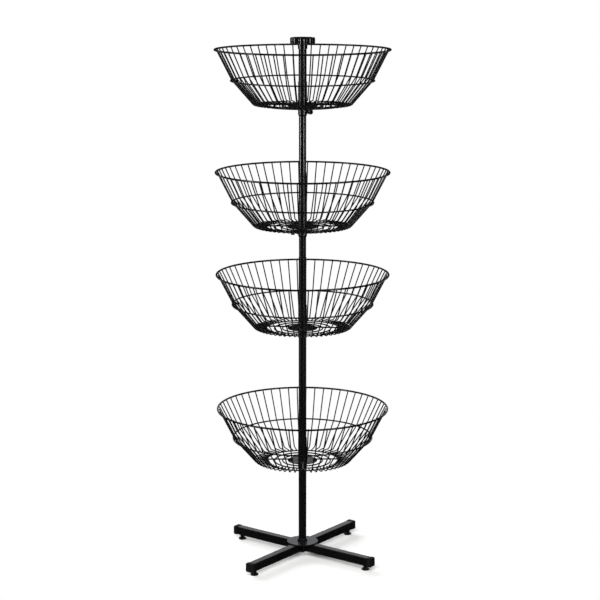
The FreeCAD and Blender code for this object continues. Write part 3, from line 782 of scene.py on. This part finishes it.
class STAND_OT_welds(bpy.types.Operator):
    """Spot welds where the wires cross, and welded beads of the hubs and the base"""
    bl_idname = "stand.welds"
    bl_label = "Welds"

    def execute(self, context):
        self.weld = context.scene.weld_sizes
        self.coat = finishes()["semi_gloss_black_powder_coat"]
        self.bead = (self.weld.bead_width, self.weld.bead_pitch, self.weld.bead_width)
        for tier in TIERS:
            self.basket_spots(context, tier)
            self.hub_beads(context, tier)
        self.base_beads(context)
        return {"FINISHED"}

    def around(self, radius, height, count, start, size, seed):
        """Lumps all the way round the axis."""
        return grown(weld_row_tree(straight=False), self.coat, radius=radius, height=height,
                     start_angle=start, sweep=FULL_TURN, count=count, size=size, seed=self.weld.seed + seed)

    def along(self, ends, spin, size, seed):
        """Bead between two points, after a turn about the pole's axis."""
        start, end = moved_points(ends, turned(spin))
        count = max(2, round((Vector(end) - Vector(start)).length / self.weld.bead_pitch))
        return grown(weld_row_tree(straight=True), self.coat, start=start, end=end, count=count, size=size,
                     seed=self.weld.seed + seed)

    def basket_spots(self, context, tier):
        sizes = context.scene.basket_sizes
        name = f"basket_{tier}"
        turn = sizes.turns[tier - 1]
        ribs = turn + math.pi / sizes.rib_count
        flash = (self.weld.nugget_across, self.weld.nugget_along, self.weld.nugget_across)
        low_flash = (*flash[:2], 0.8 * self.weld.nugget_across)
        rim = mid_height(f"{name}_rim_ring")
        rings = mid_height(f"{name}_floor_rings")
        spokes = mid_height(f"{name}_floor_spokes")
        middle = rim - sizes.middle_drop
        # A rib touches the middle ring on its inside, about 30 degrees above the level.
        touch_in, touch_up = 0.86, 0.5
        half = sizes.middle_wire / 2
        rows = [self.around(sizes.rim_radius - sizes.rim_wire / 2, rim - self.weld.rim_drop, sizes.rib_count,
                            ribs, flash, 0),
                self.around(sizes.middle_radius - touch_in * half, middle + touch_up * half, sizes.rib_count,
                            ribs, flash, 1),
                self.around(sizes.floor_radii[0], rings + sizes.floor_wire / 2, sizes.rib_count, ribs,
                            low_flash, 2)]
        rows += [self.around(radius, (rings + spokes) / 2, sizes.spoke_count, turn, flash, 3)
                 for radius in sizes.floor_radii]
        piece(f"{name}_spot_welds", merged(rows), name, self.coat)

    def hub_beads(self, context, tier):
        sizes = context.scene.basket_sizes
        hub = context.scene.hub_sizes
        weld = self.weld
        name = f"basket_{tier}"
        turn = sizes.turns[tier - 1]
        top = heights(f"{name}_hub_plate")[1]
        sleeve = hub.sleeve_bore + hub.sleeve_wall
        ripples = round(FULL_TURN * sleeve / weld.bead_pitch)
        beads = [self.around(sleeve + 0.5 * weld.bead_width, top, ripples, turn, self.bead, 4)]
        slim = (0.8 * weld.bead_width, *self.bead[1:])
        for spoke in range(sizes.spoke_count):
            for side in (-1, 1):
                across = side * 0.45 * sizes.spoke_wire
                beads.append(self.along([(sizes.spoke_start + weld.bead_margin, across, top),
                                         (hub.plate_radius - weld.bead_margin, across, top)],
                                        turn + FULL_TURN * spoke / sizes.spoke_count, slim, 5 + spoke))
        piece(f"{name}_hub_beads", merged(beads), name, self.coat)

    def base_beads(self, context):
        """Beads up the inner corners of the crossing legs, and along the legs under the base plate."""
        base = context.scene.base_sizes
        weld = self.weld
        half = base.leg_size / 2
        corner = half + 0.3 * weld.bead_width
        upright = (1.2 * weld.bead_width, weld.bead_pitch, 1.2 * weld.bead_width)
        plate = heights("base_plate")[0]
        foot = heights("leg_long")[0] + base.leg_corner
        margin = 2 * weld.bead_margin
        reach = math.sqrt(base.plate_radius ** 2 - half ** 2) - margin
        level = plate - 0.5 * weld.bead_width
        beads = []
        for quarter in range(4):
            spin = base.leg_turn + quarter * QUARTER_TURN
            beads.append(self.along([(corner, corner, foot), (corner, corner, plate)], spin, upright,
                                    20 + quarter))
            for side in (-1, 1):
                across = side * (half - 0.2 * MM)
                beads.append(self.along([(half + margin, across, level), (reach, across, level)], spin,
                                        self.bead, 30 + quarter))
        coat = finishes()["semi_gloss_black_powder_coat_on_steel_tube"]
        piece("base_weld_beads", merged(beads), "stand", coat)


class STAND_OT_hubs(bpy.types.Operator):
    """Hub plate, sleeve and liner of each basket"""
    bl_idname = "stand.hubs"
    bl_label = "Hubs"

    def execute(self, context):
        sizes = context.scene.hub_sizes
        pole = context.scene.pole_sizes
        coat = finishes()["semi_gloss_black_powder_coat"]
        bore = sizes.sleeve_bore
        edge = sizes.tube_edge
        for tier in TIERS:
            name = f"basket_{tier}"
            node = f"{name}_hub_plate"
            plate = tube(bore, sizes.plate_radius, node, (0, 0.4 * sizes.plate_edge, sizes.plate_edge, 0))
            piece(f"{name}_plate", plate, name, coat, [node])
            node = f"{name}_hub_sleeve"
            sleeve = tube(bore, bore + sizes.sleeve_wall, node, (0, 0, 2 * edge, edge), 64)
            piece(f"{name}_sleeve", sleeve, name, coat, [node])
            if on_slim_section(tier):
                node = f"{name}_hub_liner"
                liner = tube(pole.upper_radius + sizes.running_gap, bore - pole.fixed_gap, node,
                             (0, 0, edge, edge), 64)
                piece(f"{name}_liner", liner, name, coat, [node])
        return {"FINISHED"}


class STAND_OT_collars(bpy.types.Operator):
    """Height collars with their threaded bosses, and their bearing washers"""
    bl_idname = "stand.collars"
    bl_label = "Collars"

    def execute(self, context):
        sizes = context.scene.collar_sizes
        gap = context.scene.hub_sizes.running_gap
        coat = finishes()["semi_gloss_black_powder_coat_on_steel_tube"]
        hole = sizes.screw_radius + context.scene.pole_sizes.fixed_gap
        boss_radius = sizes.boss_radius
        flare_end = sizes.radius + MM
        for tier in TIERS:
            name = f"collar_{tier}"
            low, high = heights(name)
            bore = gap + pole_radius(tier)
            body = lathed([(bore, low), (bore + sizes.lip, low), (sizes.radius, low + sizes.taper),
                           (sizes.radius, high), (bore, high)],
                          (0, sizes.lip_edge, sizes.taper_edge, sizes.rim_edge, 0), 64)
            boss = lathed([(hole, sizes.boss_start), (boss_radius + sizes.boss_flare, sizes.boss_start),
                           (boss_radius, flare_end), (boss_radius, sizes.boss_reach),
                           (hole, sizes.boss_reach)],
                          (0, 0, sizes.rim_edge, sizes.rim_edge, sizes.mouth_edge), 32)
            piece(f"{name}_body", merged([body, on_screw_axis(boss, tier)]), name, coat, [name])
            dress(finishes()["turned_black_nylon"], f"bearing_washer_{tier}")
        return {"FINISHED"}


class STAND_OT_knobs(bpy.types.Operator):
    """Fluted thumb knobs on their screws"""
    bl_idname = "stand.knobs"
    bl_label = "Thumb Knobs"

    def execute(self, context):
        sizes = context.scene.collar_sizes
        gap = context.scene.pole_sizes.fixed_gap
        made = finishes()
        tip, far = sizes.knob_tip, sizes.knob_length
        plan = lobed_plan(tip, sizes.knob_lobes, sizes.knob_lobe, sizes.knob_valley, 3)
        near_face = [(0, 0), (0.62 * tip, 0)]
        # The far face has a shallow moulded dish.
        far_face = [(0.66 * tip, far), (0.60 * tip, far - 0.7 * MM), (0.30 * tip, far - 0.5 * MM),
                    (0, far - 0.4 * MM)]
        for tier in TIERS:
            name = f"thumb_knob_{tier}"
            head = lobed_head(plan, 0, far, sizes.knob_edge, 4, near_face, far_face)
            piece(f"{name}_head", on_screw_axis(head, tier, sizes.knob_start), name,
                  made["gloss_moulded_abs"], [name])
            screw = threaded_rod(sizes.screw_radius, sizes.screw_pitch, gap + pole_radius(tier),
                                 sizes.knob_start + MM)
            piece(f"{name}_screw", on_screw_axis(screw, tier), name, made["black_oxide_steel"], [name])
        return {"FINISHED"}


class STAND_OT_pole(bpy.types.Operator):
    """Two-section pole and the ring that holds its foot"""
    bl_idname = "stand.pole"
    bl_label = "Pole"

    def execute(self, context):
        sizes = context.scene.pole_sizes
        base = context.scene.base_sizes
        weld = context.scene.weld_sizes
        edge = context.scene.hub_sizes.tube_edge
        coat = finishes()["black_powder_coat_rubbed_by_collars"]
        lower = tube(sizes.upper_radius + sizes.fixed_gap, sizes.lower_radius, "pole_lower",
                     (0, 0, sizes.seam_edge, 0))
        piece("pole_lower_tube", lower, "stand", coat, ["pole_lower"])
        upper = tube(sizes.upper_radius - sizes.upper_wall, sizes.upper_radius, "pole_upper",
                     (0, edge, edge, 0))
        piece("pole_upper_tube", upper, "stand", coat, ["pole_upper"])
        wall = base.socket_bore + base.socket_wall
        ring = tube(base.socket_bore, wall, "pole_socket", (0, 0, base.socket_edge, base.socket_mouth))
        bead = grown(weld_row_tree(straight=False), coat, radius=wall + 0.4 * weld.bead_width,
                     height=heights("pole_socket")[0], start_angle=0.0, sweep=FULL_TURN,
                     count=round(FULL_TURN * wall / weld.bead_pitch),
                     size=(weld.bead_width, weld.bead_pitch, 1.2 * weld.bead_width), seed=weld.seed)
        piece("pole_socket_ring", merged([ring, bead]), "stand", coat, ["pole_socket"])
        dress(finishes()["bright_zinc_plate"], "pole_plug")
        return {"FINISHED"}


class STAND_OT_cap(bpy.types.Operator):
    """Lobed top cap over the end of the pole"""
    bl_idname = "stand.cap"
    bl_label = "Top Cap"

    def execute(self, context):
        sizes = context.scene.pole_sizes
        low, top = heights("top_cap")
        under = top - sizes.cap_thickness
        ceiling = heights("pole_upper")[1]
        bore = sizes.upper_radius + sizes.fixed_gap
        lip = bore + sizes.skirt_lip
        skirt = bore + sizes.skirt_wall
        dish = sizes.cap_dish
        plan = lobed_plan(sizes.cap_tip, sizes.cap_lobes, sizes.cap_lobe, sizes.cap_valley, 6)
        underside = [(0, ceiling), (bore, ceiling), (bore, low), (lip - sizes.skirt_edge, low),
                     (lip, low + sizes.skirt_edge), (skirt, under - sizes.skirt_root),
                     (skirt + sizes.skirt_root, under)]
        # The dish has a soft rim and falls a little further towards its middle.
        dished = [(dish + 0.8 * MM, top), (dish + 0.2 * MM, top - 0.2 * MM),
                  (dish - 0.4 * MM, top - 0.8 * MM), (0.6 * dish, top - 1.2 * MM),
                  (0.2 * dish, top - 1.4 * MM), (0, top - 1.4 * MM)]
        cap = lobed_head(plan, under, top, sizes.cap_edge, 5, underside, dished)
        piece("top_cap_moulding", moved(cap, turned(sizes.cap_turn)), "stand",
              finishes()["gloss_moulded_abs"], ["top_cap"])
        return {"FINISHED"}


class STAND_OT_base(bpy.types.Operator):
    """Cross of square tube, its plate, end caps and hidden fixings"""
    bl_idname = "stand.base"
    bl_label = "Foot Cross"

    def execute(self, context):
        sizes = context.scene.base_sizes
        made = finishes()
        coat = made["semi_gloss_black_powder_coat_on_steel_tube"]
        plate = tube(sizes.bolt_hole, sizes.plate_radius, "base_plate",
                     (0, 0.4 * sizes.plate_edge, sizes.plate_edge, 0))
        piece("base_plate_disc", plate, "stand", coat, ["base_plate"])
        dress(coat, "leg_long", "leg_short_left", "leg_short_right")
        dress(made["grained_moulded_polyethylene"], "leg_end_caps")
        dress(made["bright_zinc_plate"], "foot_inserts", "pole_bolt", "bolt_washer")
        return {"FINISHED"}


class STAND_OT_feet(bpy.types.Operator):
    """Levelling feet: pad, hexagonal neck and threaded stud"""
    bl_idname = "stand.feet"
    bl_label = "Levelling Feet"

    def execute(self, context):
        sizes = context.scene.base_sizes
        made = finishes()
        top = sizes.neck_top
        chamfer = sizes.neck_chamfer
        for foot in FEET:
            node = f"levelling_foot_{foot}"
            low, high = heights(node)
            pad_top = low + sizes.pad_height
            place = (shifted(sizes.foot_radius, 0, 0), turned(sizes.leg_turn + (foot - 1) * QUARTER_TURN))
            pad = lathed([(0, low), (sizes.pad_radius, low), (sizes.pad_radius, pad_top), (0, pad_top)],
                         (0, sizes.pad_edge, sizes.pad_edge, 0), 48)
            neck = skinned([[(0, 0, pad_top - MM)], hexagon_ring(sizes.neck_flats, pad_top - MM),
                            hexagon_ring(sizes.neck_flats, top - chamfer),
                            hexagon_ring(sizes.neck_flats - 2 * chamfer, top), [(0, 0, top)]])
            piece(f"{node}_pad", moved(merged([pad, neck]), *place), node,
                  made["grained_moulded_polyethylene"], [node])
            stud = threaded_rod(sizes.stud_radius, sizes.stud_pitch, top - MM, high)
            piece(f"{node}_stud", moved(stud, *place), node, made["bright_zinc_plate"], [node])
        return {"FINISHED"}


class STAND_OT_studio(bpy.types.Operator):
    """White paper floor, soft lamps, plain surround and camera"""
    bl_idname = "stand.studio"
    bl_label = "Studio"

    def execute(self, context):
        self.floor(context)
        self.surround(context)
        self.lamps(context)
        self.camera(context)
        context.scene.view_settings.view_transform = "Standard"
        return {"FINISHED"}

    def floor(self, context):
        """Level sheet of paper, plain white to the camera far out and shaded near the stand."""
        studio = context.scene.studio_settings
        radius, depth = 30, 0.02
        mesh = skinned([[(0, 0, -depth)], round_ring(radius, -depth, 96), round_ring(radius, 0, 96),
                        [(0, 0, 0)]])
        mesh.name = "paper_floor"
        floor = bpy.data.objects.new("paper_floor", mesh)
        context.scene.collection.objects.link(floor)
        # Uncoated background paper: matt, with the soft tooth of its fibres.
        material = bpy.data.materials.new("matt_seamless_paper")
        tree = cleared_tree(material)
        place = add(tree, "ShaderNodeTexCoord").outputs["Object"]
        fibres = add(tree, "ShaderNodeTexNoise", {"Vector": place, "Scale": 1 / (3 * MM), "Detail": 3.0})
        bump = add(tree, "ShaderNodeBump", {"Height": fibres, "Strength": 0.2, "Distance": 0.05 * MM})
        in_gloss, seen = self.ray_kinds(tree)
        white = context.scene.finish_colours.paper
        dim = [studio.gloss_share * part for part in white]
        tone = add(tree, "ShaderNodeMix", {"Factor": in_gloss, COLOUR_A: (*white, 1), COLOUR_B: (*dim, 1)},
                   data_type="RGBA")
        paper = add(tree, "ShaderNodeBsdfDiffuse", {"Color": tone.outputs[COLOUR_MIXED], "Normal": bump})
        plain_white = add(tree, "ShaderNodeEmission", {"Color": (1, 1, 1, 1), "Strength": 1.0})
        out = add(tree, "ShaderNodeVectorMath", {0: place, 1: studio.shade_centre}, operation="DISTANCE")
        away = add(tree, "ShaderNodeMapRange", {"Value": out.outputs["Value"],
                                                "From Min": studio.shade_reach,
                                                "From Max": studio.white_reach},
                   interpolation_type="SMOOTHSTEP")
        plain = add(tree, "ShaderNodeMath", {0: seen, 1: away}, operation="MULTIPLY")
        both = add(tree, "ShaderNodeMixShader", {0: plain, 1: paper, 2: plain_white})
        add(tree, "ShaderNodeOutputMaterial", {"Surface": both})
        mesh.materials.append(material)

    def surround(self, context):
        """White to the camera, far dimmer in gloss so that black stays black, and dim as a light."""
        studio = context.scene.studio_settings
        world = bpy.data.worlds.new("plain_surround")
        context.scene.world = world
        tree = cleared_tree(world)
        in_gloss, seen = self.ray_kinds(tree)
        unseen = add(tree, "ShaderNodeMix", {"Factor": in_gloss, MIX_A: studio.surround,
                                             MIX_B: studio.gloss_share}, data_type="FLOAT")
        strength = add(tree, "ShaderNodeMix", {"Factor": seen, MIX_A: unseen, MIX_B: 1.0}, data_type="FLOAT")
        light = add(tree, "ShaderNodeBackground", {"Color": (1, 1, 1, 1), "Strength": strength})
        add(tree, "ShaderNodeOutputWorld", {"Surface": light})

    def ray_kinds(self, tree):
        """Whether a ray is a reflection, and whether it comes from the camera, straight or through glass."""
        ray = add(tree, "ShaderNodeLightPath").outputs
        seen = add(tree, "ShaderNodeMath", {0: ray["Is Camera Ray"], 1: ray["Is Transmission Ray"]},
                   operation="MAXIMUM")
        return ray["Is Glossy Ray"], seen

    def lamps(self, context):
        studio = context.scene.studio_settings
        # Only the foot cross shades the two lamps that light the paper, and only it reflects the front card.
        cross = bpy.data.collections.new("foot_cross")
        for name in ("leg_long", "leg_short_left", "leg_short_right", "leg_end_caps"):
            cross.objects.link(FRAME["nodes"][name])
        for name in ("base_plate_disc", *[f"levelling_foot_{foot}_pad" for foot in FEET]):
            cross.objects.link(bpy.data.objects[name])
        # The strips leave it out, because its flat faces would show them as glare.
        spared = bpy.data.collections.new("spared_by_strips")
        for item in cross.objects:
            spared.objects.link(item)
        for member in spared.collection_objects:
            member.light_linking.link_state = "EXCLUDE"
        for name, place, size, watts in (("front_key", (-1.1, -4.0, 3.3), (5.4, 4.4), studio.key_power),
                                         ("back_key", (-1.6, 3.6, 1.9), (5.0, 3.0), studio.back_key_power)):
            key = self.lamp(context, name, place, (0, 0, 0), size, watts)
            key.visible_glossy = False
            key.visible_camera = False
            key.light_linking.blocker_collection = cross
        strip_width = 0.2
        for side, x, y, side_share in (("left", -2.22, -0.6, 1.0), ("right", 1.22, -1.95, 0.8),
                                       ("back_left", -1.5, 1.8, 0.07), ("back_right", 1.9, 1.3, 0.06)):
            for level, middle, tall, level_share in (("tall", 1.55, 1.5, 1.0), ("low", 0.4, 0.8, 0.06)):
                watts = side_share * level_share * tall * studio.strip_power
                strip = self.lamp(context, f"{side}_{level}_strip", (x, y, middle), (0, 0, middle),
                                  (strip_width, tall), watts)
                strip.visible_diffuse = False
                strip.light_linking.receiver_collection = spared
        card_height, card_size, card_aim = 0.45, (3.0, 0.8), (0, 0, 0.1)
        for side, x, y in (("back", 0.2, 1.3), ("front", -0.2, -1.3)):
            card = self.lamp(context, f"{side}_card", (x, y, card_height), card_aim, card_size,
                             studio.card_power)
            card.data.color = (0.95, 0.96, 1.0)
            card.visible_diffuse = False
            card.visible_camera = False
            if side == "front":
                card.light_linking.receiver_collection = cross

    def lamp(self, context, name, place, aim, size, watts):
        data = bpy.data.lights.new(name, "AREA")
        data.shape = "RECTANGLE"
        data.size, data.size_y = size
        data.energy = watts
        lamp = bpy.data.objects.new(name, data)
        lamp.location = place
        lamp.rotation_euler = (Vector(aim) - Vector(place)).to_track_quat("-Z", "Y").to_euler()
        context.scene.collection.objects.link(lamp)
        return lamp

    def camera(self, context):
        studio = context.scene.studio_settings
        data = bpy.data.cameras.new("studio_camera")
        data.lens = studio.lens
        data.sensor_width = 36.0
        data.clip_end = 200.0
        camera = bpy.data.objects.new("studio_camera", data)
        camera.location = studio.eye
        camera.rotation_euler = (QUARTER_TURN - studio.pitch, 0, studio.heading - QUARTER_TURN)
        context.scene.collection.objects.link(camera)
        context.scene.camera = camera


PIECES = (STAND_OT_rings, STAND_OT_ribs, STAND_OT_welds, STAND_OT_hubs, STAND_OT_collars, STAND_OT_knobs,
          STAND_OT_pole, STAND_OT_cap, STAND_OT_base, STAND_OT_feet, STAND_OT_studio)


class STAND_PT_panel(bpy.types.Panel):
    """Sizes, colours and pieces of the basket stand"""
    bl_idname = "STAND_PT_panel"
    bl_label = "Basket Stand"
    bl_space_type = "VIEW_3D"
    bl_region_type = "UI"
    bl_category = "Basket Stand"

    def draw(self, context):
        for kind in PIECES:
            self.layout.operator(kind.bl_idname)
        for name, group in SETTINGS.items():
            box = self.layout.box()
            box.label(text=name.replace("_", " ").capitalize())
            for prop in group.__annotations__:
                box.prop(getattr(context.scene, name), prop)


CLASSES = (*SETTINGS.values(), *PIECES, STAND_PT_panel)


def register():
    for kind in CLASSES:
        bpy.utils.register_class(kind)
    for name, group in SETTINGS.items():
        setattr(bpy.types.Scene, name, PointerProperty(type=group))


def unregister():
    for name in SETTINGS:
        delattr(bpy.types.Scene, name)
    for kind in reversed(CLASSES):
        bpy.utils.unregister_class(kind)


def main():
    register()
    for kind in PIECES:
        group, action = kind.bl_idname.split(".")
        getattr(getattr(bpy.ops, group), action)()


if __name__ == "__main__":
    main()
